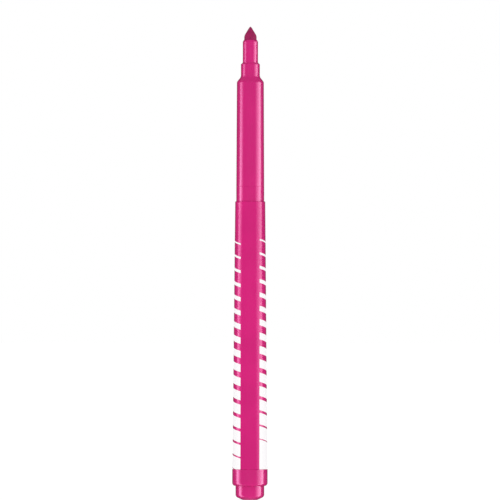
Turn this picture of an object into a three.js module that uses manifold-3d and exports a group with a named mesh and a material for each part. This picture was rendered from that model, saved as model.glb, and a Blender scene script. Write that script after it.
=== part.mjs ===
// Erasable felt-tip pen without its cap, standing on its end plug with the nib up.
// Millimetres, +Z up along the pen's axis, origin at the middle of the plug's flat base.
// Radii grow outwards from the nib and the ink reservoir, and heights are stacked up from the base.

import * as THREE from 'three';
import { mergeVertices } from 'three/addons/utils/BufferGeometryUtils.js';
import Module from 'manifold-3d';

const wasm = await Module();
wasm.setup();

// Heights of the outside, from the base up to the nib's tip
const BOSS_HEIGHT = 4.25;
const COLLAR_HEIGHT = 5.0;
const BARREL_LENGTH = 80.35;
const NECK_LENGTH = 4.45;
const GRIP_LENGTH = 31.51;
const FLARE_LENGTH = 1.44;
const MIDDLE_LENGTH = 3.7;
const SHOULDER_LENGTH = 0.5;
const NOSE_LENGTH = 6.8;
const NIB_REACH = 4.0;

// Nib
const NIB_RADIUS = 1.86;
const NIB_CONE_HALF_ANGLE = THREE.MathUtils.degToRad(32);
const NIB_TIP_RADIUS = 0.34;
const NIB_CONE_BLEND = 2.0;
const NIB_SOAK_DEPTH = 8.0;
const NIB_TAIL_RADIUS = 1.35;
const NIB_TAIL_TAPER = 1.5;

// Walls and steps of the front section
const NOSE_WALL = 0.36;
const NOSE_LIP_WIDTH = 0.3;
const NOSE_LIP_HEIGHT = 0.55;
const GUIDE_GAP = 0.33;
const MIDDLE_WALL = 0.58;
const GRIP_TAPER = 0.15;
const FLARE_INNER_BLEND = 1.3;
const FLARE_OUTER_BLEND = 0.9;
const GUIDE_RIB_THICKNESS = 0.45;
const STOP_FIN_THICKNESS = 0.6;
const STOP_FIN_LENGTH = 8.0;
const AIR_GROOVE_WIDTH = 0.6;
const AIR_GROOVE_DEPTH = 0.15;
const SPIGOT_WALL = 0.55;
const SPIGOT_LENGTH = 12.0;
const SPIGOT_LEAD_IN = 0.3;

// Reservoir
const RESERVOIR_RADIUS = 2.85;
const FILM_THICKNESS = 0.15;
const PUSHER_RISE = 6.75;

// Barrel
const NECK_WALL = 0.58;
const NECK_STEP = 0.32;
const NECK_STEP_BLEND = 0.25;
const BARREL_TAPER = 0.75;
const BARREL_WALL = 0.9;
const CENTRING_RIB_COUNT = 6;
const CENTRING_RIB_THICKNESS = 0.6;

// End plug
const COLLAR_PROUD = 0.05;
const COLLAR_BLEND = 0.9;
const BOSS_STEP = 1.0;
const FOOT_RADIUS = 2.1;
const DOME_HEIGHT = 1.0;
const DOME_BLEND = 1.0;
const PLUG_WALL = 0.8;
const PLUG_FLOOR = 1.5;
const PLUG_SKIRT_LENGTH = 10.0;
const PLUG_LEAD_IN = 0.35;
const PUSHER_WALL = 0.8;
const PUSHER_INSET = 0.85;
const GATE_RECESS_RADIUS = 1.1;
const GATE_RECESS_DEPTH = 0.25;

// Snap beads, the same on the spigot and on the plug's skirt
const BEAD_HEIGHT = 0.12;
const BEAD_HALF_WIDTH = 0.6;
const BEAD_FROM_END = 3.0;

// Clearances
const SNAP_CLEARANCE = 0.05;
const NIB_CLEARANCE = 0.06;
const RIB_CLEARANCE = 0.03;
const FILM_CLEARANCE = 0.02;
const RESERVOIR_CLEARANCE = 0.15;
const END_CLEARANCE = 0.3;
const RIB_END_CLEARANCE = 1.0;

// Ribs reach this far into the wall that carries them
const RIB_ROOT = 0.25;

// Fineness of round shapes
const ROUND_STEPS = 48;
const BLEND_STEPS = 4;

// Heights worked out from the stack above
const collarBottom = BOSS_HEIGHT;
const collarTop = collarBottom + COLLAR_HEIGHT;
const barrelStep = collarTop + BARREL_LENGTH;
const seam = barrelStep + NECK_LENGTH;
const gripFront = seam + GRIP_LENGTH;
const middleRear = gripFront + FLARE_LENGTH;
const middleFront = middleRear + MIDDLE_LENGTH;
const noseRear = middleFront + SHOULDER_LENGTH;
const noseFront = noseRear + NOSE_LENGTH;
const nibTip = noseFront + NIB_REACH;

// Radii worked out from the nib and the reservoir outwards
const nibBore = NIB_RADIUS + NIB_CLEARANCE;
const noseRadius = nibBore + NOSE_WALL;
const guideBore = nibBore + GUIDE_GAP;
const middleRadius = guideBore + MIDDLE_WALL;
const chamberRadius = RESERVOIR_RADIUS + RESERVOIR_CLEARANCE;
const spigotRadius = chamberRadius + SPIGOT_WALL;
const neckBore = spigotRadius + SNAP_CLEARANCE;
const neckRadius = neckBore + NECK_WALL;
const gripFrontRadius = neckRadius - GRIP_TAPER;
const barrelFrontRadius = neckRadius + NECK_STEP;
const barrelRearRadius = barrelFrontRadius + BARREL_TAPER;
const barrelRearBore = barrelRearRadius - BARREL_WALL;
const skirtRadius = barrelRearBore - SNAP_CLEARANCE;
const skirtBore = skirtRadius - PLUG_WALL;
const pusherRadius = RESERVOIR_RADIUS - PUSHER_INSET;
const collarRadius = barrelRearRadius + COLLAR_PROUD;
const bossRadius = collarRadius - BOSS_STEP;

// Places inside
const spigotEnd = seam - SPIGOT_LENGTH;
const skirtEnd = collarTop + PLUG_SKIRT_LENGTH;
const reservoirRear = collarTop + PUSHER_RISE;
const chamberFront = gripFront - END_CLEARANCE;
const reservoirFront = chamberFront - STOP_FIN_LENGTH;
const nibTail = reservoirFront - NIB_SOAK_DEPTH;

function sideShare([, , blend = 0]) {
  return blend > 0 ? 0.48 : 0.95;
}

// Turns a list of [radius, height, blend] corners into points, with an arc at each corner that has a blend.
// An arc takes most of a side that ends in a sharp corner, and less than half of one that ends in another arc.
function blendedPoints(corners, closed) {
  const points = [];
  corners.forEach(([radius, height, blend = 0], index) => {
    const corner = new THREE.Vector2(radius, height);
    const before = corners[(index + corners.length - 1) % corners.length];
    const after = corners[(index + 1) % corners.length];
    const isEnd = !closed && (index === 0 || index === corners.length - 1);
    if (blend <= 0 || isEnd) {
      points.push(corner);
      return;
    }
    const toBefore = new THREE.Vector2(before[0], before[1]).sub(corner);
    const toAfter = new THREE.Vector2(after[0], after[1]).sub(corner);
    const reach = Math.min(toBefore.length() * sideShare(before), toAfter.length() * sideShare(after));
    toBefore.normalize();
    toAfter.normalize();
    const halfAngle = Math.acos(THREE.MathUtils.clamp(toBefore.dot(toAfter), -1, 1)) / 2;
    const tangent = Math.min(blend / Math.tan(halfAngle), reach);
    const arcRadius = tangent * Math.tan(halfAngle);
    const middle = toBefore.clone().add(toAfter).setLength(arcRadius / Math.sin(halfAngle)).add(corner);
    const start = corner.clone().addScaledVector(toBefore, tangent).sub(middle);
    const turn = Math.PI - 2 * halfAngle;
    const sense = Math.sign(toAfter.cross(toBefore));
    for (let step = 0; step <= BLEND_STEPS; step += 1) {
      const spoke = start.clone().rotateAround(new THREE.Vector2(), sense * turn * step / BLEND_STEPS);
      points.push(spoke.add(middle));
    }
  });
  return points;
}

// A solid of revolution about Z. A profile that starts and ends on the axis is open, any other closes on itself.
function revolve(corners) {
  const closed = corners[0][0] > 0;
  const points = blendedPoints(corners, closed);
  if (closed) {
    points.push(points[0].clone());
  }
  const geometry = new THREE.LatheGeometry(points, ROUND_STEPS);
  return geometry.rotateX(Math.PI / 2);
}

function toSolid(geometry) {
  const bare = geometry.clone();
  bare.deleteAttribute('normal');
  bare.deleteAttribute('uv');
  const merged = mergeVertices(bare);
  const corners = Array.from(merged.index.array);
  const triangles = [];
  for (let first = 0; first < corners.length; first += 3) {
    const [a, b, c] = corners.slice(first, first + 3);
    if (a !== b && b !== c && c !== a) {
      triangles.push(a, b, c);
    }
  }
  const mesh = new wasm.Mesh({
    numProp: 3,
    vertProperties: Float32Array.from(merged.attributes.position.array),
    triVerts: Uint32Array.from(triangles),
  });
  return new wasm.Manifold(mesh);
}

function toGeometry(solid) {
  const mesh = solid.getMesh();
  const geometry = new THREE.BufferGeometry();
  geometry.setAttribute('position', new THREE.BufferAttribute(Float32Array.from(mesh.vertProperties), 3));
  geometry.setIndex(Array.from(mesh.triVerts));
  geometry.computeVertexNormals();
  return geometry;
}

// A flat rib standing out along X between two radii and two heights, turned about Z
function radialPlate({ inner, outer, bottom, top, thickness, angle }) {
  const plate = new THREE.BoxGeometry(outer - inner, thickness, top - bottom);
  plate.translate((inner + outer) / 2, 0, (bottom + top) / 2);
  return plate.rotateZ(angle);
}

// Equal plates in a ring, each with the same radii, heights and thickness
function plateRing(count, plate, firstAngle = 0) {
  const ring = [];
  for (let index = 0; index < count; index += 1) {
    ring.push(radialPlate({ ...plate, angle: firstAngle + 2 * Math.PI * index / count }));
  }
  return ring;
}

function addAll(solid, geometries) {
  return geometries.reduce((sum, geometry) => sum.add(toSolid(geometry)), solid);
}

function cutAll(solid, geometries) {
  return geometries.reduce((rest, geometry) => rest.subtract(toSolid(geometry)), solid);
}

// Three corners of a snap bead that stands out of a wall, or of the groove that holds it, going up
function beadCorners(wallRadius, height, halfWidth) {
  return [
    [wallRadius, height - halfWidth],
    [wallRadius + BEAD_HEIGHT, height],
    [wallRadius, height + halfWidth],
  ];
}

function plastic(color, roughness) {
  return new THREE.MeshStandardMaterial({ color, roughness, metalness: 0 });
}

const pinkPlastic = plastic(0xd12b78, 0.22);
const inkedFibre = plastic(0xa02a5c, 0.9);
const clearFilm = plastic(0xe9d7e2, 0.3);

function named(name, geometry, material) {
  const mesh = new THREE.Mesh(geometry, material);
  mesh.name = name;
  return mesh;
}

// Nib: a fibre rod with a rounded conical point and a tapered tail that stands in the ink bundle
function makeNib() {
  const tipCentre = nibTip - NIB_TIP_RADIUS;
  const apex = tipCentre + NIB_TIP_RADIUS / Math.sin(NIB_CONE_HALF_ANGLE);
  const coneBase = apex - NIB_RADIUS / Math.tan(NIB_CONE_HALF_ANGLE);
  const tip = [];
  for (let step = 0; step <= BLEND_STEPS; step += 1) {
    const lean = NIB_CONE_HALF_ANGLE + (Math.PI / 2 - NIB_CONE_HALF_ANGLE) * step / BLEND_STEPS;
    tip.push([NIB_TIP_RADIUS * Math.cos(lean), tipCentre + NIB_TIP_RADIUS * Math.sin(lean)]);
  }
  tip[BLEND_STEPS][0] = 0;
  return revolve([
    [0, nibTail],
    [NIB_TAIL_RADIUS, nibTail],
    [NIB_RADIUS, nibTail + NIB_TAIL_TAPER],
    [NIB_RADIUS, coneBase, NIB_CONE_BLEND],
    ...tip,
  ]);
}

// Front section: stepped nose, grip, and the spigot that snaps into the barrel's neck
function makeFrontSection() {
  const beadHeight = spigotEnd + BEAD_FROM_END;
  const shell = revolve([
    [chamberRadius, spigotEnd],
    [spigotRadius - SPIGOT_LEAD_IN, spigotEnd],
    [spigotRadius, spigotEnd + SPIGOT_LEAD_IN],
    ...beadCorners(spigotRadius, beadHeight, BEAD_HALF_WIDTH),
    [spigotRadius, seam],
    [neckRadius, seam],
    [gripFrontRadius, gripFront, FLARE_OUTER_BLEND],
    [middleRadius, middleRear, FLARE_INNER_BLEND],
    [middleRadius, middleFront],
    [noseRadius, noseRear],
    [noseRadius, noseFront - NOSE_LIP_HEIGHT],
    [noseRadius - NOSE_LIP_WIDTH, noseFront],
    [nibBore, noseFront],
    [nibBore, middleFront],
    [guideBore, middleFront - GUIDE_GAP],
    [guideBore, middleRear],
    [chamberRadius, chamberFront],
  ]);
  const guideRibs = plateRing(4, {
    inner: NIB_RADIUS + RIB_CLEARANCE,
    outer: guideBore + RIB_ROOT,
    bottom: middleRear,
    top: middleFront,
    thickness: GUIDE_RIB_THICKNESS,
  });
  const stopFins = plateRing(4, {
    inner: nibBore,
    outer: chamberRadius + RIB_ROOT,
    bottom: reservoirFront,
    top: chamberFront,
    thickness: STOP_FIN_THICKNESS,
  });
  const airGrooves = plateRing(4, {
    inner: NIB_RADIUS,
    outer: nibBore + AIR_GROOVE_DEPTH,
    bottom: middleFront - GUIDE_GAP,
    top: noseFront + END_CLEARANCE,
    thickness: AIR_GROOVE_WIDTH,
  }, Math.PI / 4);
  const ribbed = addAll(toSolid(shell), [...guideRibs, ...stopFins]);
  return toGeometry(cutAll(ribbed, airGrooves));
}

// Barrel: neck, step and tapered tube, with ribs inside that keep the reservoir on the axis
function makeBarrel() {
  const spigotGroove = spigotEnd + BEAD_FROM_END;
  const skirtGroove = skirtEnd - BEAD_FROM_END;
  const grooveHalfWidth = BEAD_HALF_WIDTH + SNAP_CLEARANCE;
  const ribBottom = skirtEnd + RIB_END_CLEARANCE;
  const ribTop = spigotEnd - RIB_END_CLEARANCE;
  const tube = revolve([
    [barrelRearBore, collarTop],
    [barrelRearRadius, collarTop],
    [barrelFrontRadius, barrelStep, NECK_STEP_BLEND],
    [neckRadius, barrelStep],
    [neckRadius, seam],
    [neckBore, seam],
    ...beadCorners(neckBore, spigotGroove, grooveHalfWidth).reverse(),
    [neckBore, ribTop],
    [barrelRearBore, ribBottom],
    ...beadCorners(barrelRearBore, skirtGroove, grooveHalfWidth).reverse(),
  ]);
  const centringRibs = plateRing(CENTRING_RIB_COUNT, {
    inner: chamberRadius,
    outer: barrelRearBore + RIB_ROOT,
    bottom: ribBottom,
    top: ribTop,
    thickness: CENTRING_RIB_THICKNESS,
  });
  const envelope = revolve([
    [0, ribBottom],
    [barrelRearBore + RIB_ROOT, ribBottom],
    [neckBore + RIB_ROOT, ribTop],
    [0, ribTop],
  ]);
  const ribs = centringRibs.map((rib) => toSolid(rib).intersect(toSolid(envelope)));
  return toGeometry(ribs.reduce((sum, rib) => sum.add(rib), toSolid(tube)));
}

// End plug: domed boss with a flat foot, collar, skirt that snaps into the barrel, and the reservoir's pusher
function makeEndPlug() {
  const beadHeight = skirtEnd - BEAD_FROM_END;
  return revolve([
    [0, GATE_RECESS_DEPTH],
    [GATE_RECESS_RADIUS, GATE_RECESS_DEPTH],
    [GATE_RECESS_RADIUS, 0],
    [FOOT_RADIUS, 0],
    [bossRadius, DOME_HEIGHT, DOME_BLEND],
    [bossRadius, collarBottom],
    [collarRadius, collarBottom, COLLAR_BLEND],
    [collarRadius, collarTop],
    [skirtRadius, collarTop],
    ...beadCorners(skirtRadius, beadHeight, BEAD_HALF_WIDTH),
    [skirtRadius, skirtEnd - PLUG_LEAD_IN],
    [skirtRadius - PLUG_LEAD_IN, skirtEnd],
    [skirtBore, skirtEnd],
    [skirtBore, PLUG_FLOOR],
    [pusherRadius, PLUG_FLOOR],
    [pusherRadius, reservoirRear],
    [pusherRadius - PUSHER_WALL, reservoirRear],
    [pusherRadius - PUSHER_WALL, PLUG_FLOOR],
    [0, PLUG_FLOOR],
  ]);
}

// Reservoir core: a bundle of ink fibre with the pocket that the nib's tail presses into its front end
function makeReservoirCore() {
  const coreRadius = RESERVOIR_RADIUS - FILM_THICKNESS - FILM_CLEARANCE;
  return revolve([
    [0, reservoirRear],
    [coreRadius, reservoirRear],
    [coreRadius, reservoirFront],
    [nibBore, reservoirFront],
    [nibBore, nibTail + NIB_TAIL_TAPER],
    [NIB_TAIL_RADIUS + NIB_CLEARANCE, nibTail - END_CLEARANCE],
    [0, nibTail - END_CLEARANCE],
  ]);
}

// Reservoir wrap: the film sleeve round the bundle, open at both ends
function makeReservoirWrap() {
  const filmInside = RESERVOIR_RADIUS - FILM_THICKNESS;
  return revolve([
    [filmInside, reservoirRear],
    [RESERVOIR_RADIUS, reservoirRear],
    [RESERVOIR_RADIUS, reservoirFront],
    [filmInside, reservoirFront],
  ]);
}

const pen = new THREE.Group();
pen.add(
  named('nib', makeNib(), inkedFibre),
  named('front_section', makeFrontSection(), pinkPlastic),
  named('barrel', makeBarrel(), pinkPlastic),
  named('end_plug', makeEndPlug(), pinkPlastic),
  named('reservoir_core', makeReservoirCore(), inkedFibre),
  named('reservoir_wrap', makeReservoirWrap(), clearFilm),
);

export default pen;
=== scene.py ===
"""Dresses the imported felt-tip pen: turned pieces, moulded and printed plastic, fibre and a white stage."""

import math

import bmesh
import bpy
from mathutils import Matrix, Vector


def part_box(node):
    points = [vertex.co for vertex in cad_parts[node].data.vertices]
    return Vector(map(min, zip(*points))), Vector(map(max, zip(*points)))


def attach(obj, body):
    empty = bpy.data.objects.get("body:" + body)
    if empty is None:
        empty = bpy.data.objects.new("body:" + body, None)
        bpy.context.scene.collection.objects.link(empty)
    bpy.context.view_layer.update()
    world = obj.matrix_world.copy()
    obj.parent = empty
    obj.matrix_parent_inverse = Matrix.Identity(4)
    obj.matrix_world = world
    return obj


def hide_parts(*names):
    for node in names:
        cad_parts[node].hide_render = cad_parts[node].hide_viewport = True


bl_info = {
    "name": "Felt-Tip Pen",
    "version": (1, 0, 0),
    "blender": (4, 5, 0),
    "location": "3D View > Sidebar > Pen",
    "description": "Builds an erasable felt-tip pen piece by piece round its packed frame",
    "category": "Add Mesh",
}

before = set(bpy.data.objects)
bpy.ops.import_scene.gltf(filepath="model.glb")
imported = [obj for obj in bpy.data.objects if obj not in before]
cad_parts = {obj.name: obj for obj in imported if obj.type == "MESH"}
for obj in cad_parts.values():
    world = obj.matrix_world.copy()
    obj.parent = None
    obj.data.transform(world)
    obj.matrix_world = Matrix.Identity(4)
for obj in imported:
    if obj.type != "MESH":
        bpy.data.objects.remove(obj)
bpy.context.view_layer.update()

MM = 0.001
NEAR = 0.002 * MM
BODY = "root"
WHITE = (1.0, 1.0, 1.0, 1.0)
BLACK = (0.0, 0.0, 0.0, 1.0)

# Fineness of the turned pieces, of the nib's tip and of its skin.
# A rib ends SHORT of a corner, so that no cut runs along a ring of points.
ROUND_STEPS = 128
ARC_STEP = math.radians(6)
SUPPORT = 0.2 * MM
SHORT = 0.02 * MM
SMOOTH_ANGLE = math.radians(30)
TIP_STEPS = 10
SKIN_CUTS = 8
DENT_DETAIL = 3


def length(name, description, millimetres):
    """A size in metres, given in millimetres."""
    return bpy.props.FloatProperty(
        name=name, description=description, default=millimetres * MM, min=0, precision=5, unit="LENGTH"
    )


def share(name, description, default, highest=1.0):
    """A number without a unit, from 0 up."""
    return bpy.props.FloatProperty(name=name, description=description, default=default, min=0, max=highest)


def copies(name, description, number):
    """How many copies of a thing there are."""
    return bpy.props.IntProperty(name=name, description=description, default=number, min=1)


def turn(name, description, degrees):
    """An angle, given in degrees."""
    return bpy.props.FloatProperty(
        name=name, description=description, default=math.radians(degrees), subtype="ANGLE"
    )


def colour(name, description, default):
    """A linear colour."""
    return bpy.props.FloatVectorProperty(
        name=name, description=description, default=default, size=3, min=0, max=1, subtype="COLOR"
    )


class PenShape(bpy.types.PropertyGroup):
    """Sizes of the mouldings and the nib that the boxes of the frame's nodes don't give."""

    nose_radius: length("Nose radius", "Radius of the slim nose round the nib", 2.28)
    nose_length: length("Nose length", "Height of the slim nose, from its shoulder to its lip", 6.8)
    lip_width: length("Lip width", "How far the nose's lip slopes inwards", 0.3)
    lip_height: length("Lip height", "Height of the slope at the nose's lip", 0.55)
    shoulder_length: length("Shoulder length", "Height of the slope from the middle step to the nose", 0.5)
    middle_radius: length("Middle radius", "Radius of the step behind the nose", 2.83)
    middle_length: length("Middle length", "Height of the step behind the nose", 3.78)
    flare_length: length("Flare length", "Height over which the grip draws in to the middle step", 1.5)
    flare_outer: length("Flare outer rounding", "Rounding where the grip turns into the flare", 0.9)
    flare_inner: length("Flare inner rounding", "Rounding where the flare turns into the middle step", 1.3)
    grip_taper: length("Grip taper", "How much slimmer the grip is at its front end than at the seam", 0.15)
    nib_bore: length("Nib bore", "Radius of the hole that holds the nib", 1.92)
    guide_gap: length("Guide gap", "How much wider the hole is between the guide ribs", 0.33)
    chamber_radius: length("Chamber radius", "Radius of the room for the reservoir", 3.0)
    end_gap: length("End gap", "Gap between the reservoir and the front of its room", 0.3)
    spigot_radius: length("Spigot radius", "Radius of the part that snaps into the barrel", 3.55)
    neck_bore: length("Neck bore", "Radius of the hole that the spigot snaps into", 3.6)
    neck_length: length("Neck length", "Height of the neck between the barrel's step and the seam", 4.45)
    barrel_front: length("Barrel front radius", "Radius of the barrel at its step", 4.5)
    neck_step: length("Neck step rounding", "Rounding of the barrel's step", 0.25)
    barrel_bore: length("Barrel bore", "Radius of the hole at the barrel's rear end", 4.35)
    collar_height: length("Collar height", "Height of the end plug's collar", 5.0)
    collar_rounding: length("Collar rounding", "Rounding of the collar's lower edge", 0.9)
    boss_radius: length("Boss radius", "Radius of the boss that the pen stands on", 4.3)
    foot_radius: length("Foot radius", "Radius of the flat foot under the dome of the boss", 2.1)
    dome_height: length("Dome height", "Height at which the dome would meet the unrounded boss", 1.0)
    dome_rounding: length("Dome rounding", "Rounding between the dome and the boss", 1.0)
    foot_edge: length("Foot edge", "Rounding between the foot and the dome", 0.6)
    skirt_radius: length("Skirt radius", "Radius of the plug's skirt, inside the barrel", 4.3)
    skirt_bore: length("Skirt bore", "Radius of the room inside the skirt", 3.5)
    plug_floor: length("Plug floor", "Thickness of the plug's floor", 1.5)
    pusher_radius: length("Pusher radius", "Radius of the tube that holds the reservoir forward", 2.0)
    pusher_wall: length("Pusher wall", "Wall of that tube", 0.8)
    gate_radius: length("Gate radius", "Radius of the recess round the mould gate, under the boss", 1.1)
    gate_depth: length("Gate depth", "Depth of that recess", 0.25)
    stub_radius: length("Stub radius", "Radius of the end of the stub that the mould gate left there", 0.35)
    stub_root: share("Stub root", "Radius of the stub's root, as a multiple of its end's", 1.15, 2)
    stub_edge: share("Stub edge", "Height of the stub's rim, as a share of the recess's depth", 0.5)
    stub_middle: share("Stub middle", "Height of the stub's middle, as a share of that depth", 0.45)
    bead_height: length("Bead height", "How far a snap bead stands out", 0.12)
    bead_half: length("Bead half width", "Half the height of a snap bead", 0.6)
    bead_place: length("Bead place", "Distance of a snap bead from its piece's end", 3.0)
    snap_clear: length("Snap clearance", "How much further than its bead a groove reaches, up and down", 0.05)
    spigot_lead: length("Spigot lead", "Width of the slope at the spigot's end", 0.3)
    skirt_lead: length("Skirt lead", "Width of the slope at the skirt's end", 0.35)
    seam_edge: length("Seam edge", "Rounding of the edges that meet at the seam in front", 0.07)
    collar_edge: length("Collar seam edge", "Rounding of the edges that meet above the collar", 0.12)
    fine_edge: length("Fine edge", "Rounding of the other moulded edges", 0.08)
    tip_radius: length("Nib tip radius", "Radius of the nib's very tip", 0.34)
    cone_angle: turn("Nib cone angle", "Angle between the nib's cone and its axis", 32)
    cone_blend: length("Nib cone blend", "Rounding where the nib's cone begins", 2.0)
    tail_radius: length("Nib tail radius", "Radius of the nib's tail, in the reservoir", 1.35)
    tail_taper: length("Nib tail taper", "Height over which the tail widens", 1.5)
    nib_shown: length("Nib shown", "How far below the nose's lip the nib's fine skin begins", 2.0)
    nib_relief: length("Nib relief", "Depth of the dents in the pressed fibre", 0.07)
    dent_size: length("Dent size", "Size of those dents", 0.55)
    nib_level: share("Nib level", "Share of the dents' depth that lies inside the nib's turned shape", 0.6)
    film_wall: length("Film wall", "Wall of the film round the reservoir", 0.15)
    guide_ribs: copies("Guide ribs", "How many ribs hold the nib on the axis", 4)
    stop_fins: copies("Stop fins", "How many fins stop the reservoir", 4)
    air_grooves: copies("Air grooves", "How many grooves let air past the nib", 4)
    centring_ribs: copies("Centring ribs", "How many ribs hold the reservoir on the axis", 6)
    guide_rib: length("Guide rib", "Thickness of the nib's ribs", 0.45)
    guide_clear: length("Guide clearance", "Gap between those ribs and the nib", 0.03)
    stop_fin: length("Stop fin", "Thickness of the reservoir's fins", 0.6)
    air_width: length("Air groove width", "Width of the air grooves", 0.6)
    air_depth: length("Air groove depth", "Depth of those grooves", 0.15)
    centring_rib: length("Centring rib", "Thickness of the reservoir's ribs", 0.6)
    rib_gap: length("Rib gap", "Distance of the centring ribs from the plug and the spigot", 1.0)
    rib_root: length("Rib root", "How far every rib reaches into its wall", 0.25)


class PenPrint(bpy.types.PropertyGroup):
    """The white stripes printed down both sides of the barrel."""

    band_half: length("Plain band", "Half the width of the band left plain on the front and back", 2.85)
    slope: share("Slope", "Drop of a stripe for each unit of its way round the barrel", 0.23)
    first_thickness: length("First thickness", "Thickness of the topmost stripe", 0.46)
    left_top: length("Left top", "Height of the first left stripe's upper edge, at the front line", 76.28)
    left_pitch: length("Left pitch", "Distance from one left stripe to the next", 4.024)
    left_growth: length("Left growth", "How much thicker each left stripe is than the one above", 0.207)
    right_top: length("Right top", "Height of the first right stripe's upper edge, at the front line", 79.07)
    right_pitch: length("Right pitch", "Distance from one right stripe to the next", 4.006)
    right_growth: length("Right growth", "How much thicker each right stripe is than the one above", 0.232)
    thinnest_gap: length("Thinnest gap", "Gap between two stripes below which they merge", 0.25)
    edge: length("Print edge", "Width over which the print ends", 0.04)
    wander: length("Print wander", "Width in which the print's edges wander", 0.05)
    thickness: length("Print thickness", "Thickness of the printed white layer", 0.012)


class PenFinish(bpy.types.PropertyGroup):
    """Colours and gloss."""

    pink: colour("Pink plastic", "The dyed plastic of the three mouldings", (0.665, 0.0115, 0.187))
    white: colour("White print", "The printed white layer", (0.985, 0.965, 0.98))
    fibre: colour("Inked fibre", "Nib fibre that is wet with ink", (0.39, 0.0135, 0.108))
    # Painted shade: this darker colour stands in for the shade in the grooves between the nib's strands. It
    # also marks darker patches at random.
    shaded_and_patchy_fibre: colour("Dark fibre", "Gaps between the nib's fibres", (0.21, 0.006, 0.058))
    film: colour("Film", "The clear film round the reservoir", (0.82, 0.68, 0.76))
    gloss_tint: colour("Gloss tint", "Colour that the dyed plastic lends to its gloss", (1.0, 0.28, 0.92))
    deep_dye: share("Deep dye", "Level of the plastic's colour in the darkest clouds of the dye", 0.955)
    light_dye: share("Light dye", "Level of the plastic's colour in the lightest clouds of the dye", 1.03, 2)
    roughness: share("Plastic roughness", "Roughness of the moulded plastic", 0.2)
    ripple_depth: length("Ripple depth", "Depth of the soft ripple that the mould leaves", 0.0015)
    grain_depth: length("Grain depth", "Depth of the fine grain on that ripple", 0.0003)
    tube_gloss: share("Tube gloss", "Level of the printed tube's gloss, where 0.5 is bare plastic's", 0.29)
    tube_coat: share("Tube coat", "Refractive index of the lacquer on the printed tube", 1.36, 2)
    print_gloss: share("Print gloss", "Level of the print's gloss, where 0.5 is bare plastic's", 0.05)
    strand_depth: length("Strand depth", "Depth of the relief of the strands in the fibre", 0.05)
    pit_depth: length("Pit depth", "Depth of the pits between the strands", 0.03)
    crease_depth: length("Crease depth", "Depth of the creases in the film", 0.02)


class PenStage(bpy.types.PropertyGroup):
    """Camera, lamps and backdrop."""

    camera_distance: length("Camera distance", "Distance from the camera to the pen's axis", 2400)
    camera_height: length("Camera height", "Height of the camera above the floor", 75)
    aim_height: length("Aim height", "Height that the camera is aimed at", 75)
    aim_side: bpy.props.FloatProperty(
        name="Aim side", description="How far right of the axis the camera stands",
        default=-0.05 * MM, unit="LENGTH",
    )
    lens: bpy.props.FloatProperty(name="Lens", description="Focal length in millimetres", default=576)
    roll: turn("Roll", "Turn of the camera about its line of sight", -0.07)
    light: share("Light", "Mean level of the soft light all round", 1.075, 10)
    side_light: share("Side light", "Level at the left and right, as a share of the mean", 0.6)
    floor_light: share("Floor light", "Level at which the floor lights the pen from below", 1.055, 10)
    floor_glow: share("Floor glow", "Level of the white in the floor that a shadow leaves alone", 0.86)
    floor_shade: share("Floor shade", "Level of the white in the floor that a shadow darkens", 0.22)
    cloth_distance: length("Cloth distance", "Distance of the dark cloth from the pen's axis", 620)
    cloth_top: length("Cloth top", "Height of the dark cloth's upper edge and of the grey lid", 620)
    cloth_drop: length("Cloth drop", "How far below the floor the dark cloth and the grey ground reach", 500)
    cover_size: length("Cover size", "Side of the square lid and ground", 1400)
    dark_cloth: share("Dark cloth", "Level of the dark cloth in the gloss", 0.05)
    grey_cloth: share("Grey cloth", "Level of the grey lid and ground in the gloss", 0.14)
    box_distance: length("Box distance", "Distance of the soft boxes from the pen's axis", 450)
    box_top: length("Box top", "Height of the soft boxes' upper edges", 340)
    box_drop: length("Box drop", "How far below the floor the soft boxes reach", 490)
    fade_bottom: length("Fade bottom", "Height at which the soft boxes begin to fade upwards", 90)
    fade_top: length("Fade top", "Height at which that fading ends", 145)
    tube_turn: turn("Tube turn", "How far the soft boxes are turned back beside the printed tube", 5)
    tube_bottom: length("Tube bottom", "Height at which that turn begins", 9)
    tube_top: length("Tube top", "Height at which it ends", 90)
    turn_step: length("Turn step", "Height over which the turn sets in", 0.5)


def pen_settings():
    """The four groups of settings on the scene."""
    scene = bpy.context.scene
    return scene.pen_shape, scene.pen_print, scene.pen_finish, scene.pen_stage


def spot(corner):
    """Where a corner of an outline lies, from its radius and height."""
    return Vector((corner[0], 0, corner[1]))


def arc_reach(corner, before, after, rounding):
    """How far along its sides a corner's arc reaches, and the angle that the arc turns through."""
    to_before = (spot(before) - spot(corner)).normalized()
    to_after = (spot(after) - spot(corner)).normalized()
    turned = math.pi - to_before.angle(to_after)
    return rounding * math.tan(turned / 2), turned


def support(corner, neighbour, reach):
    """A point just past a corner's arc on the side to a neighbour, or none where that side is too short."""
    side = spot(neighbour) - spot(corner)
    spare = side.length - reach * (2 if len(neighbour) > 2 else 1)
    if spare <= 2 * SUPPORT:
        return []
    point = spot(corner) + side.normalized() * (reach + SUPPORT)
    return [(point.x, point.z, 0)]


def supported(corners):
    """Adds a point on each side of every arc, so that the shading of a long side stays straight."""
    result = []
    for index, corner in enumerate(corners):
        radius, height, *rounding = corner
        if not rounding:
            result.append((radius, height, 0))
            continue
        before, after = corners[index - 1], corners[(index + 1) % len(corners)]
        reach, _ = arc_reach(corner, before, after, rounding[0])
        result += [*support(corner, before, reach), corner, *support(corner, after, reach)]
    return result


def select_points(piece, chosen):
    """In edit mode, selects exactly the points for which chosen is true."""
    shape = bmesh.from_edit_mesh(piece.data)
    for point in shape.verts:
        point.select = chosen(point.co)
    shape.select_mode = {"VERT"}
    shape.select_flush_mode()
    bmesh.update_edit_mesh(piece.data)


def select_edges(piece, chosen):
    """In edit mode, selects exactly the edges whose two ends pass the test."""
    shape = bmesh.from_edit_mesh(piece.data)
    for edge in shape.edges:
        edge.select = all(chosen(point.co) for point in edge.verts)
    bmesh.update_edit_mesh(piece.data)


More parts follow.
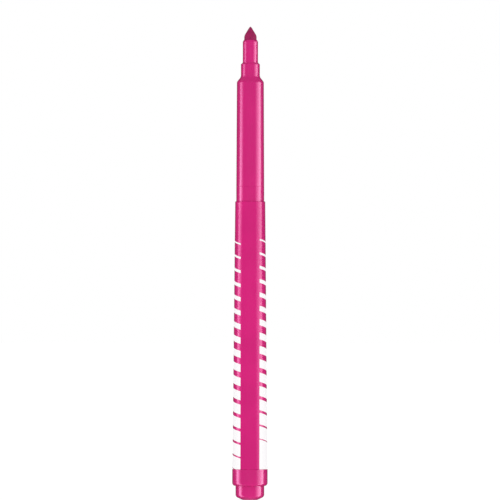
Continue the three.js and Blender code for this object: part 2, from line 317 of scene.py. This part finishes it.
def draw_outline(name, corners):
    """Draws half of a turned piece's outline, in edit mode. The third value of a corner is its rounding."""
    closed = corners[0][0] > 0
    points = supported(corners)
    bpy.ops.object.select_all(action="DESELECT")
    bpy.ops.mesh.primitive_plane_add(size=MM, location=(0, 0, 0))
    piece = bpy.context.object
    piece.name = piece.data.name = name
    bpy.ops.object.mode_set(mode="EDIT")
    bpy.ops.mesh.select_mode(type="VERT")
    bpy.ops.mesh.select_all(action="SELECT")
    bpy.ops.mesh.merge(type="CENTER")
    bpy.ops.transform.translate(value=spot(points[0]))
    for here, there in zip(points, points[1:]):
        step = spot(there) - spot(here)
        bpy.ops.mesh.extrude_vertices_move(TRANSFORM_OT_translate={"value": step})
    if closed:
        ends = [spot(points[0]), spot(points[-1])]
        select_points(piece, lambda place: min((place - end).length for end in ends) < NEAR)
        bpy.ops.mesh.edge_face_add()
    for index, corner in enumerate(points):
        if corner[2] == 0:
            continue
        place = spot(corner)
        after = points[(index + 1) % len(points)]
        reach, turned = arc_reach(corner, points[index - 1], after, corner[2])
        select_points(piece, lambda point: (point - place).length < NEAR)
        bpy.ops.mesh.bevel(
            offset=reach, offset_type="OFFSET", segments=max(2, round(turned / ARC_STEP)), profile=0.5,
            affect="VERTICES", clamp_overlap=False,
        )
    return piece


def merge_points():
    """In edit mode, joins points that lie at one place, so that no face is left without an area."""
    bpy.ops.mesh.select_all(action="SELECT")
    bpy.ops.mesh.remove_doubles(threshold=NEAR / 4)


def spin_outline():
    """Spins the outline that is being drawn about the pen's axis into a closed skin that faces outwards."""
    bpy.ops.mesh.select_all(action="SELECT")
    bpy.ops.mesh.spin(steps=ROUND_STEPS, angle=2 * math.pi, center=(0, 0, 0), axis=(0, 0, 1))
    merge_points()
    bpy.ops.mesh.normals_make_consistent(inside=False)
    bpy.ops.object.mode_set(mode="OBJECT")


def plate_ring(number, inner, outer, bottom, top, thickness, first_angle=0.0):
    """Flat plates that stand out from the axis in a ring, as one object."""
    bpy.ops.object.select_all(action="DESELECT")
    plates = []
    middle = (inner + outer) / 2
    for index in range(number):
        angle = first_angle + 2 * math.pi * index / number
        bpy.ops.mesh.primitive_cube_add(
            size=1,
            location=(middle * math.cos(angle), middle * math.sin(angle), (bottom + top) / 2),
            rotation=(0, 0, angle),
            scale=(outer - inner, thickness, top - bottom),
        )
        plates.append(bpy.context.object)
    for plate in plates:
        plate.select_set(True)
    bpy.ops.object.join()
    bpy.ops.object.transform_apply(location=True, rotation=True, scale=True)
    return bpy.context.object


def combine(piece, tool, operation):
    """Adds a tool's shape to a piece, cuts it out or keeps what both share, and removes the tool."""
    bpy.ops.object.select_all(action="DESELECT")
    bpy.context.view_layer.objects.active = piece
    modifier = piece.modifiers.new("combine", "BOOLEAN")
    modifier.operation = operation
    modifier.solver = "EXACT"
    modifier.object = tool
    bpy.ops.object.modifier_apply(modifier=modifier.name)
    bpy.data.objects.remove(tool)
    bpy.ops.object.mode_set(mode="EDIT")
    merge_points()
    bpy.ops.object.mode_set(mode="OBJECT")


def finish_piece(piece, material, slot, *nodes):
    """Smooths the shading, gives the piece its material and puts it in its node's place on the pen."""
    bpy.ops.object.select_all(action="DESELECT")
    piece.select_set(True)
    bpy.context.view_layer.objects.active = piece
    bpy.ops.object.shade_smooth_by_angle(angle=SMOOTH_ANGLE)
    piece.data.materials.clear()
    piece.data.materials.append(material)
    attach(piece, BODY)
    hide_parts(*nodes)


class Value:
    """A socket's value in a shader, which can be used in sums."""

    def __init__(self, shader, socket):
        self.shader = shader
        self.socket = socket

    def math(self, operation, *others):
        """The result of one Math node on this value and up to two others."""
        return self.shader.node("ShaderNodeMath", {"operation": operation}, dict(enumerate([self, *others])))

    def __add__(self, other):
        return self.math("ADD", other)

    def __mul__(self, other):
        return self.math("MULTIPLY", other)

    def __sub__(self, other):
        return self.math("SUBTRACT", other)

    def __truediv__(self, other):
        return self.math("DIVIDE", other)

    def __rsub__(self, other):
        return self.shader.node("ShaderNodeMath", {"operation": "SUBTRACT"}, {0: other, 1: self})

    __radd__ = __add__
    __rmul__ = __mul__


class Shader:
    """The nodes of one material or of the world."""

    def __init__(self, owner):
        owner.use_nodes = True
        self.tree = owner.node_tree
        self.tree.nodes.clear()

    def node(self, kind, settings=None, sockets=None, output=0):
        """Adds a node, sets it up, fills or links its sockets and returns the outputs asked for."""
        made = self.tree.nodes.new(kind)
        for name, setting in (settings or {}).items():
            setattr(made, name, setting)
        for name, value in (sockets or {}).items():
            if isinstance(value, Value):
                self.tree.links.new(value.socket, made.inputs[name])
            else:
                made.inputs[name].default_value = value
        if isinstance(output, tuple):
            return [Value(self, made.outputs[name]) for name in output]
        return Value(self, made.outputs[output]) if made.outputs else None

    def place(self):
        """The point's place on the pen, in metres, as a vector and as three numbers."""
        vector = self.node("ShaderNodeTexCoord", output="Object")
        return vector, self.node("ShaderNodeSeparateXYZ", {}, {"Vector": vector}, output=("X", "Y", "Z"))

    def noise(self, vector, scale, detail=2.0, roughness=0.5):
        """Noise from 0 to 1 with about scale spots to the metre."""
        sockets = {"Vector": vector, "Scale": scale, "Detail": detail, "Roughness": roughness}
        return self.node("ShaderNodeTexNoise", {}, sockets)

    def stretched(self, vector, along):
        """The place with its height multiplied, which draws a pattern out along the pen."""
        return self.node("ShaderNodeVectorMath", {"operation": "MULTIPLY"}, {0: vector, 1: (1.0, 1.0, along)})

    def between(self, value, low, high, to_low=0.0, to_high=1.0):
        """Takes a value from one range to another with a soft start and end."""
        return self.node(
            "ShaderNodeMapRange", {"interpolation_type": "SMOOTHSTEP"},
            {"Value": value, "From Min": low, "From Max": high, "To Min": to_low, "To Max": to_high},
        )

    def blend(self, factor, first, second):
        """Mixes two colours."""
        sockets = {"Factor": factor, "A": first, "B": second}
        return self.node("ShaderNodeMix", {"data_type": "RGBA"}, sockets, output="Result")

    def glow(self, shade, level):
        """Light of one colour and level."""
        return self.node("ShaderNodeEmission", {}, {"Color": shade, "Strength": level})

    def bump(self, height, distance, strength=1.0, below=None):
        """A normal that shows a height, from 0 to 1, as a relief of the given depth in metres."""
        sockets = {"Height": height, "Distance": distance, "Strength": strength}
        if below:
            sockets["Normal"] = below
        return self.node("ShaderNodeBump", {}, sockets)

    def plastic(self, **sockets):
        """A Principled shader from named sockets, written with _ for a space."""
        spaced = {name.replace("_", " "): value for name, value in sockets.items()}
        return self.node("ShaderNodeBsdfPrincipled", {}, spaced)

    def surface(self, shader):
        """Makes a shader the material's surface."""
        self.node("ShaderNodeOutputMaterial", {}, {"Surface": shader})


def rgba(shade):
    """A colour with full alpha, for a socket."""
    return (*shade, 1.0)


def new_shader(name):
    """An empty material and its nodes."""
    material = bpy.data.materials.new(name)
    return material, Shader(material)


def moulded_plastic(shader, finish):
    """Sockets of dyed glossy plastic from a mould: clouds in the dye and a soft ripple in the gloss."""
    vector, _ = shader.place()
    clouds = shader.noise(vector, 90, 3)
    ripple = shader.noise(vector, 700, 2)
    grain = shader.noise(vector, 9000, 2)
    deep = rgba([finish.deep_dye * part for part in finish.pink])
    light = rgba([min(1, finish.light_dye * part) for part in finish.pink])
    colour = shader.blend(shader.between(clouds, 0.35, 0.65), deep, light)
    roughness = finish.roughness - 0.03 + 0.06 * shader.between(grain, 0.3, 0.7)
    relief = shader.bump(grain, finish.grain_depth, below=shader.bump(ripple, finish.ripple_depth))
    return dict(
        Base_Color=colour, Roughness=roughness, Normal=relief, IOR=1.5,
        Specular_Tint=rgba(finish.gloss_tint), Coat_Weight=1.0, Coat_IOR=1.5, Coat_Roughness=finish.roughness,
    )


def make_pink_plastic(finish):
    """The finish of the front section and the end plug, which share one material."""
    if "pink_plastic" in bpy.data.materials:
        return bpy.data.materials["pink_plastic"]
    material, shader = new_shader("pink_plastic")
    shader.surface(shader.plastic(**moulded_plastic(shader, finish)))
    return material


def print_mask(shader, stripes):
    """1 where the barrel is printed white, 0 where it is left plain."""
    vector, (across, away, height) = shader.place()
    radius = (across * across + away * away).math("SQRT")
    around = radius * across.math("ARCTAN2", 0.0 - away)
    wander = (shader.noise(vector, 4000, 2) - 0.5) * stripes.wander
    half_edge = stripes.edge / 2
    sides = []
    for top, pitch, growth in (
        (stripes.left_top, stripes.left_pitch, stripes.left_growth),
        (stripes.right_top, stripes.right_pitch, stripes.right_growth),
    ):
        below = top - stripes.slope * around - height + wander
        number = (below / pitch).math("FLOOR")
        rest = below - number * pitch
        thickness = stripes.first_thickness + number * growth
        upper = shader.between(rest, 0.0, stripes.edge)
        lower = shader.between(thickness - rest, -half_edge, half_edge)
        filled = thickness.math("GREATER_THAN", pitch - stripes.thinnest_gap)
        started = number.math("GREATER_THAN", -0.5)
        sides.append(started * (upper * lower).math("MAXIMUM", filled))
    left, right = sides
    on_right = across.math("GREATER_THAN", 0.0)
    striped = left * (1 - on_right) + right * on_right
    beside = across.math("ABSOLUTE") + wander
    panel = shader.between(beside, stripes.band_half - half_edge, stripes.band_half + half_edge)
    return striped * panel


def make_printed_plastic(finish, stripes, tube_top):
    """The barrel's finish: pink plastic, less glossy on the tube than on the neck, and the white print."""
    material, shader = new_shader("printed_plastic")
    mask = print_mask(shader, stripes)
    bare = moulded_plastic(shader, finish)
    vector, (_, _, height) = shader.place()
    blotches = shader.noise(vector, 1500, 3)
    thin = rgba([0.8 * white + 0.2 * pink for white, pink in zip(finish.white, finish.pink)])
    ink = shader.blend(shader.between(blotches, 0.68, 0.9, 0.0, 0.15), rgba(finish.white), thin)
    step = shader.bump(mask, stripes.thickness, below=bare["Normal"])
    printed = shader.plastic(
        Base_Color=ink, Roughness=shader.between(blotches, 0.2, 0.8, 0.55, 0.7), Normal=step,
        IOR=1.45, Specular_IOR_Level=finish.print_gloss,
    )
    bare["Normal"] = step
    neck = shader.plastic(**bare)
    bare["Coat_IOR"] = finish.tube_coat
    tube = shader.plastic(**bare, Specular_IOR_Level=finish.tube_gloss)
    on_tube = height.math("LESS_THAN", tube_top)
    plain = shader.node("ShaderNodeMixShader", {}, {0: on_tube, 1: neck, 2: tube})
    shader.surface(shader.node("ShaderNodeMixShader", {}, {0: mask, 1: plain, 2: printed}))
    return material


def make_fibre(finish, name, drawn_out):
    """Pressed polyester fibre soaked with ink: fine strands along the pen, painted shade in the grooves
    between them, darker patches at random and small pits.
    """
    material, shader = new_shader(name)
    vector, _ = shader.place()
    strands = shader.noise(shader.stretched(vector, drawn_out), 7000, 4, 0.65)
    patches = shader.noise(vector, 1100, 3, 0.6)
    cells = {"Vector": shader.stretched(vector, 0.55), "Scale": 2600.0}
    pits = shader.node("ShaderNodeTexVoronoi", {"feature": "F1"}, cells)
    # Painted shade: the colour darkens where the strands' relief is lowest, in the grooves between them. The
    # patches add darker tone at random.
    dark = shader.between(strands, 0.62, 0.35) * 0.55 + shader.between(patches, 0.6, 0.3) * 0.45
    colour = shader.blend(dark, rgba(finish.fibre), rgba(finish.shaded_and_patchy_fibre))
    pit = shader.between(pits, 0.05, 0.3)
    relief = shader.bump(pit, finish.pit_depth, 0.7, below=shader.bump(strands, finish.strand_depth))
    shader.surface(
        shader.plastic(
            Base_Color=colour, Roughness=shader.between(patches, 0.3, 0.7, 0.62, 0.85), Normal=relief,
            IOR=1.4, Specular_IOR_Level=0.25,
        )
    )
    return material


def make_film(finish):
    """The clear film round the reservoir, faintly creased."""
    material, shader = new_shader("clear_film")
    vector, _ = shader.place()
    creases = shader.noise(shader.stretched(vector, 0.2), 900, 3)
    shader.surface(
        shader.plastic(
            Base_Color=rgba(finish.film), Alpha=shader.between(creases, 0.3, 0.7, 0.4, 0.55),
            Roughness=shader.between(creases, 0.3, 0.7, 0.12, 0.25),
            Normal=shader.bump(creases, finish.crease_depth),
        )
    )
    return material


def bead(radius, height, half, tall):
    """Three corners of a snap bead that stands out of a wall, going up."""
    return [(radius, height - half), (radius + tall, height), (radius, height + half)]


class PEN_OT_nib(bpy.types.Operator):
    """Turn the fibre nib, with a rounded cone, and press small dents into its skin"""

    bl_idname = "pen.nib"
    bl_label = "Nib"
    bl_options = {"REGISTER", "UNDO"}

    def execute(self, context):
        shape, _, finish, _ = pen_settings()
        low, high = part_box("nib")
        radius, tail = high.x, low.z
        tip = high.z - shape.nib_relief * (1 - shape.nib_level)
        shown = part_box("front_section")[1].z - shape.nib_shown
        tip_centre = tip - shape.tip_radius
        apex = tip_centre + shape.tip_radius / math.sin(shape.cone_angle)
        cone_base = apex - radius / math.tan(shape.cone_angle)
        corners = [
            (0, tail),
            (shape.tail_radius, tail),
            (radius, tail + shape.tail_taper),
            (radius, shown),
            (radius, cone_base, shape.cone_blend),
        ]
        for step in range(TIP_STEPS + 1):
            lean = shape.cone_angle + (math.pi / 2 - shape.cone_angle) * step / TIP_STEPS
            across = 0 if step == TIP_STEPS else shape.tip_radius * math.cos(lean)
            corners.append((across, tip_centre + shape.tip_radius * math.sin(lean)))
        piece = draw_outline("nib_piece", corners)
        select_edges(piece, lambda place: place.z > shown - NEAR)
        bpy.ops.mesh.subdivide(number_cuts=SKIN_CUTS)
        spin_outline()
        dents = bpy.data.textures.new("dents", "CLOUDS")
        dents.noise_scale = shape.dent_size
        dents.noise_depth = DENT_DETAIL
        press = piece.modifiers.new("press", "DISPLACE")
        press.texture = dents
        press.texture_coords = "LOCAL"
        press.mid_level = shape.nib_level
        press.strength = shape.nib_relief
        context.view_layer.objects.active = piece
        bpy.ops.object.modifier_apply(modifier=press.name)
        finish_piece(piece, make_fibre(finish, "nib_fibre", 0.22), "nib_fibre", "nib")
        return {"FINISHED"}


class PEN_OT_front_section(bpy.types.Operator):
    """Turn the front section's nose, step, grip and spigot, add its ribs and fins and cut its air grooves"""

    bl_idname = "pen.front_section"
    bl_label = "Front Section"
    bl_options = {"REGISTER", "UNDO"}

    def execute(self, context):
        shape, _, finish, _ = pen_settings()
        low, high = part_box("front_section")
        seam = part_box("barrel")[1].z
        neck, rear, lip = high.x, low.z, high.z
        reservoir_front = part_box("reservoir_core")[1].z
        nose_rear = lip - shape.nose_length
        middle_front = nose_rear - shape.shoulder_length
        middle_rear = middle_front - shape.middle_length
        grip_front = middle_rear - shape.flare_length
        chamber_front = grip_front - shape.end_gap
        guide = shape.nib_bore + shape.guide_gap
        edge, lead = shape.fine_edge, shape.spigot_lead
        piece = draw_outline("front_section_piece", [
            (shape.chamber_radius, rear),
            (shape.spigot_radius - lead, rear),
            (shape.spigot_radius, rear + lead),
            *bead(shape.spigot_radius, rear + shape.bead_place, shape.bead_half, shape.bead_height),
            (shape.spigot_radius, seam),
            (neck, seam, shape.seam_edge),
            (neck - shape.grip_taper, grip_front, shape.flare_outer),
            (shape.middle_radius, middle_rear, shape.flare_inner),
            (shape.middle_radius, middle_front, edge),
            (shape.nose_radius, nose_rear, edge),
            (shape.nose_radius, lip - shape.lip_height, edge),
            (shape.nose_radius - shape.lip_width, lip),
            (shape.nib_bore, lip),
            (shape.nib_bore, middle_front),
            (guide, middle_front - shape.guide_gap),
            (guide, middle_rear),
            (shape.chamber_radius, chamber_front),
        ])
        spin_outline()
        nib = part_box("nib")[1].x
        root = shape.rib_root
        guide_ribs = plate_ring(
            shape.guide_ribs, nib + shape.guide_clear, guide + root, middle_rear, middle_front - SHORT,
            shape.guide_rib,
        )
        combine(piece, guide_ribs, "UNION")
        stop_fins = plate_ring(
            shape.stop_fins, shape.nib_bore, shape.chamber_radius + root, reservoir_front,
            chamber_front - SHORT, shape.stop_fin,
        )
        combine(piece, stop_fins, "UNION")
        air_grooves = plate_ring(
            shape.air_grooves, nib, shape.nib_bore + shape.air_depth, middle_front - shape.guide_gap,
            lip + shape.air_depth, shape.air_width, math.pi / shape.air_grooves,
        )
        combine(piece, air_grooves, "DIFFERENCE")
        finish_piece(piece, make_pink_plastic(finish), "section_plastic", "front_section")
        return {"FINISHED"}


class PEN_OT_barrel(bpy.types.Operator):
    """Turn the barrel: neck, step and tapered tube, and print its stripes"""

    bl_idname = "pen.barrel"
    bl_label = "Barrel"
    bl_options = {"REGISTER", "UNDO"}

    def execute(self, context):
        shape, stripes, finish, _ = pen_settings()
        low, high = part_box("barrel")
        rear_radius, rear, seam = high.x, low.z, high.z
        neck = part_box("front_section")[1].x
        spigot_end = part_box("front_section")[0].z
        skirt_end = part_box("end_plug")[1].z
        step = seam - shape.neck_length
        half = shape.bead_half + shape.snap_clear
        rib_bottom, rib_top = skirt_end + shape.rib_gap, spigot_end - shape.rib_gap
        spigot_groove = bead(shape.neck_bore, spigot_end + shape.bead_place, half, shape.bead_height)
        skirt_groove = bead(shape.barrel_bore, skirt_end - shape.bead_place, half, shape.bead_height)
        piece = draw_outline("barrel_piece", [
            (shape.barrel_bore, rear),
            (rear_radius, rear, shape.collar_edge),
            (shape.barrel_front, step, shape.neck_step),
            (neck, step),
            (neck, seam, shape.seam_edge),
            (shape.neck_bore, seam),
            *reversed(spigot_groove),
            (shape.neck_bore, rib_top),
            (shape.barrel_bore, rib_bottom),
            *reversed(skirt_groove),
        ])
        spin_outline()
        root = shape.rib_root
        ribs = plate_ring(
            shape.centring_ribs, shape.chamber_radius, shape.barrel_bore + root, rib_bottom - root,
            rib_top + root, shape.centring_rib,
        )
        room = draw_outline("rib_room", [
            (0, rib_bottom + SHORT),
            (shape.barrel_bore + root, rib_bottom + SHORT),
            (shape.neck_bore + root, rib_top - SHORT),
            (0, rib_top - SHORT),
        ])
        spin_outline()
        combine(ribs, room, "INTERSECT")
        combine(piece, ribs, "UNION")
        finish_piece(piece, make_printed_plastic(finish, stripes, step), "barrel_plastic", "barrel")
        return {"FINISHED"}


class PEN_OT_end_plug(bpy.types.Operator):
    """Turn the end plug: boss, collar, skirt and the tube that holds the reservoir forward"""

    bl_idname = "pen.end_plug"
    bl_label = "End Plug"
    bl_options = {"REGISTER", "UNDO"}

    def execute(self, context):
        shape, _, finish, _ = pen_settings()
        _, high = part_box("end_plug")
        collar, skirt_end = high.x, high.z
        collar_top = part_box("barrel")[0].z
        collar_bottom = collar_top - shape.collar_height
        reservoir_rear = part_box("reservoir_core")[0].z
        lead = shape.skirt_lead
        pusher_bore = shape.pusher_radius - shape.pusher_wall
        piece = draw_outline("end_plug_piece", [
            (0, shape.gate_depth * shape.stub_middle),
            (shape.stub_radius, shape.gate_depth * shape.stub_edge),
            (shape.stub_radius * shape.stub_root, shape.gate_depth),
            (shape.gate_radius, shape.gate_depth),
            (shape.gate_radius, 0),
            (shape.foot_radius, 0, shape.foot_edge),
            (shape.boss_radius, shape.dome_height, shape.dome_rounding),
            (shape.boss_radius, collar_bottom),
            (collar, collar_bottom, shape.collar_rounding),
            (collar, collar_top, shape.collar_edge),
            (shape.skirt_radius, collar_top),
            *bead(shape.skirt_radius, skirt_end - shape.bead_place, shape.bead_half, shape.bead_height),
            (shape.skirt_radius, skirt_end - lead),
            (shape.skirt_radius - lead, skirt_end),
            (shape.skirt_bore, skirt_end),
            (shape.skirt_bore, shape.plug_floor),
            (shape.pusher_radius, shape.plug_floor),
            (shape.pusher_radius, reservoir_rear),
            (pusher_bore, reservoir_rear),
            (pusher_bore, shape.plug_floor),
            (0, shape.plug_floor),
        ])
        spin_outline()
        finish_piece(piece, make_pink_plastic(finish), "plug_plastic", "end_plug")
        return {"FINISHED"}


class PEN_OT_reservoir(bpy.types.Operator):
    """Turn the ink reservoir: the fibre bundle with the nib's pocket, and the film round it"""

    bl_idname = "pen.reservoir"
    bl_label = "Reservoir"
    bl_options = {"REGISTER", "UNDO"}

    def execute(self, context):
        shape, _, finish, _ = pen_settings()
        low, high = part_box("reservoir_core")
        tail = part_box("nib")[0].z
        gap = shape.nib_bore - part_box("nib")[1].x
        pocket = tail - shape.end_gap
        core = draw_outline("reservoir_core_piece", [
            (0, low.z),
            (high.x, low.z),
            (high.x, high.z),
            (shape.nib_bore, high.z),
            (shape.nib_bore, tail + shape.tail_taper),
            (shape.tail_radius + gap, pocket),
            (0, pocket),
        ])
        spin_outline()
        finish_piece(core, make_fibre(finish, "ink_fibre", 0.05), "ink_fibre", "reservoir_core")
        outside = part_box("reservoir_wrap")[1].x
        wrap = draw_outline("reservoir_wrap_piece", [
            (outside - shape.film_wall, low.z),
            (outside, low.z),
            (outside, high.z),
            (outside - shape.film_wall, high.z),
        ])
        spin_outline()
        finish_piece(wrap, make_film(finish), "clear_film", "reservoir_wrap")
        return {"FINISHED"}


def curved_panel(name, radius, start, end, bottom, top):
    """A curved upright panel round the pen. Angles start at the camera's side and grow to the right."""
    bpy.ops.object.select_all(action="DESELECT")
    bpy.ops.mesh.primitive_plane_add(size=MM, location=(0, 0, 0))
    panel = bpy.context.object
    panel.name = panel.data.name = name
    bpy.ops.object.mode_set(mode="EDIT")
    bpy.ops.mesh.select_mode(type="VERT")
    bpy.ops.mesh.select_all(action="SELECT")
    bpy.ops.mesh.merge(type="CENTER")
    bpy.ops.transform.translate(value=(radius * math.sin(start), -radius * math.cos(start), bottom))
    bpy.ops.mesh.extrude_vertices_move(TRANSFORM_OT_translate={"value": (0, 0, top - bottom)})
    bpy.ops.mesh.select_all(action="SELECT")
    steps = max(4, round((end - start) / ARC_STEP))
    bpy.ops.mesh.spin(steps=steps, angle=start - end, center=(0, 0, 0), axis=(0, 0, 1))
    bpy.ops.mesh.select_all(action="SELECT")
    bpy.ops.mesh.remove_doubles(threshold=NEAR)
    bpy.ops.object.mode_set(mode="OBJECT")
    return panel


def only_in_gloss(panel):
    """Lets a panel be seen in reflections alone, so that it neither lights, shades nor hides anything."""
    panel.visible_camera = False
    panel.visible_diffuse = False
    panel.visible_transmission = False
    panel.visible_volume_scatter = False
    panel.visible_shadow = False


def seen_directly(shader):
    """1 for camera, glossy and transmission rays, which show the white backdrop."""
    kinds = ("Is Camera Ray", "Is Glossy Ray", "Is Transmission Ray")
    camera, glossy, through = shader.node("ShaderNodeLightPath", output=kinds)
    return camera.math("MAXIMUM", glossy).math("MAXIMUM", through)


class PEN_OT_stage(bpy.types.Operator):
    """Set up the camera, the white floor and backdrop, the soft light, the cloths and the two soft boxes"""

    bl_idname = "pen.stage"
    bl_label = "Stage"
    bl_options = {"REGISTER", "UNDO"}

    def execute(self, context):
        _, _, _, stage = pen_settings()
        self.set_camera(stage)
        self.lay_floor(stage)
        self.light_world(stage)
        self.hang_cloths(stage)
        self.hang_soft_box(
            stage, "left_soft_box", outer=-103, peak=-87, inner=-62,
            level=5.9, top_level=0.5, shade=(1.0, 0.86, 1.0),
        )
        self.hang_soft_box(
            stage, "right_soft_box", outer=104, peak=92, inner=44,
            level=5.5, top_level=0.83, shade=(1.0, 1.0, 1.0),
        )
        context.scene.view_settings.view_transform = "Standard"
        return {"FINISHED"}

    def set_camera(self, stage):
        """Stands the camera where the photograph was taken from."""
        data = bpy.data.cameras.new("camera")
        camera = bpy.data.objects.new("camera", data)
        bpy.context.scene.collection.objects.link(camera)
        data.lens = stage.lens
        data.sensor_width = 36
        data.clip_start, data.clip_end = 0.01, 30
        camera.location = (stage.aim_side, -stage.camera_distance, stage.camera_height)
        dip = math.atan2(stage.camera_height - stage.aim_height, stage.camera_distance)
        camera.rotation_euler = (math.pi / 2 - dip, stage.roll, 0)
        bpy.context.scene.camera = camera

    def lay_floor(self, stage):
        """A white floor that lights the pen from below and keeps a faint shadow of it."""
        bpy.ops.object.select_all(action="DESELECT")
        bpy.ops.mesh.primitive_plane_add(size=8, location=(0, 0, -0.02 * MM))
        floor = bpy.context.object
        floor.name = floor.data.name = "floor"
        material, shader = new_shader("floor_white")
        lit = shader.glow(WHITE, stage.floor_light)
        faint = shader.node("ShaderNodeBsdfDiffuse", {}, {"Color": rgba([stage.floor_shade] * 3)})
        shown = shader.node("ShaderNodeAddShader", {}, {0: faint, 1: shader.glow(WHITE, stage.floor_glow)})
        shader.surface(shader.node("ShaderNodeMixShader", {}, {0: seen_directly(shader), 1: lit, 2: shown}))
        floor.data.materials.append(material)
        floor.visible_glossy = False

    def light_world(self, stage):
        """A world that is white where it is seen, and lights the pen softly, less from its left and right."""
        world = bpy.data.worlds.new("studio")
        bpy.context.scene.world = world
        shader = Shader(world)
        direction = shader.node("ShaderNodeTexCoord", output="Generated")
        away = shader.node("ShaderNodeSeparateXYZ", {}, {"Vector": direction}, output="Y")
        level = stage.light * (stage.side_light + (1 - stage.side_light) * 2 * (away * away))
        seen = seen_directly(shader)
        strength = level * (1 - seen) + seen
        back = shader.node("ShaderNodeBackground", {}, {"Color": WHITE, "Strength": strength})
        shader.node("ShaderNodeOutputWorld", {}, {"Surface": back})

    def hang_cloths(self, stage):
        """Dark cloth all round the pen, and grey cloth above and below it, which show in its gloss alone."""
        flags = curved_panel(
            "dark_flags", stage.cloth_distance, -math.pi, math.pi, -stage.cloth_drop, stage.cloth_top
        )
        flags.data.materials.append(self.cloth("flag_cloth", stage.dark_cloth))
        only_in_gloss(flags)
        grey = self.cloth("cover_cloth", stage.grey_cloth)
        for name, height in (("grey_lid", stage.cloth_top), ("grey_ground", -stage.cloth_drop)):
            bpy.ops.object.select_all(action="DESELECT")
            bpy.ops.mesh.primitive_plane_add(size=stage.cover_size, location=(0, 0, height))
            cover = bpy.context.object
            cover.name = cover.data.name = name
            cover.data.materials.append(grey)
            only_in_gloss(cover)

    def cloth(self, name, level):
        """Cloth of one level of brightness."""
        material, shader = new_shader(name)
        shader.surface(shader.glow(WHITE, level))
        return material

    def hang_soft_box(self, stage, name, outer, peak, inner, level, top_level, shade):
        """A curved soft box, brightest at its peak, that fades to its outer and inner edges and to its top.

        Its angles are in degrees from the camera's side, and top_level is the share of its level left above.
        """
        outer, peak, inner = math.radians(outer), math.radians(peak), math.radians(inner)
        panel = curved_panel(
            name, stage.box_distance, min(outer, inner), max(outer, inner), -stage.box_drop, stage.box_top
        )
        material, shader = new_shader(name + "_cloth")
        _, (across, away, height) = shader.place()
        beside_tube = (
            shader.between(height, stage.tube_bottom, stage.tube_bottom + stage.turn_step)
            * shader.between(height, stage.tube_top, stage.tube_top - stage.turn_step)
        )
        angle = across.math("ARCTAN2", 0.0 - away) + beside_tube * stage.tube_turn
        upwards = shader.between(height, stage.fade_bottom, stage.fade_top, 1.0, top_level)
        outwards = shader.between(angle, outer, peak)
        inwards = shader.node("ShaderNodeMapRange", {}, {"Value": angle, "From Min": inner, "From Max": peak})
        shown = shader.blend(outwards * inwards * upwards, BLACK, rgba(shade))
        shader.surface(shader.glow(shown, level))
        panel.data.materials.append(material)
        only_in_gloss(panel)


class PEN_PT_panel(bpy.types.Panel):
    """Lists the pen's pieces and settings in the sidebar"""

    bl_label = "Felt-Tip Pen"
    bl_idname = "PEN_PT_panel"
    bl_space_type = "VIEW_3D"
    bl_region_type = "UI"
    bl_category = "Pen"

    def draw(self, context):
        for operator in OPERATORS:
            self.layout.operator(operator.bl_idname)
        for name, group in SETTINGS.items():
            box = self.layout.box()
            box.label(text=name.replace("_", " ").title())
            for setting in group.__annotations__:
                box.prop(getattr(context.scene, name), setting)


OPERATORS = (
    PEN_OT_nib,
    PEN_OT_front_section,
    PEN_OT_barrel,
    PEN_OT_end_plug,
    PEN_OT_reservoir,
    PEN_OT_stage,
)
SETTINGS = {"pen_shape": PenShape, "pen_print": PenPrint, "pen_finish": PenFinish, "pen_stage": PenStage}


def register():
    """Makes the settings, operators and panel known to Blender."""
    for group in (*SETTINGS.values(), *OPERATORS, PEN_PT_panel):
        bpy.utils.register_class(group)
    for name, group in SETTINGS.items():
        setattr(bpy.types.Scene, name, bpy.props.PointerProperty(type=group))


def unregister():
    """Takes them out again."""
    for name in SETTINGS:
        delattr(bpy.types.Scene, name)
    for group in reversed((*SETTINGS.values(), *OPERATORS, PEN_PT_panel)):
        bpy.utils.unregister_class(group)


def main():
    """Builds the pen and its stage."""
    register()
    bpy.ops.pen.nib()
    bpy.ops.pen.front_section()
    bpy.ops.pen.barrel()
    bpy.ops.pen.end_plug()
    bpy.ops.pen.reservoir()
    bpy.ops.pen.stage()


if __name__ == "__main__":
    main()
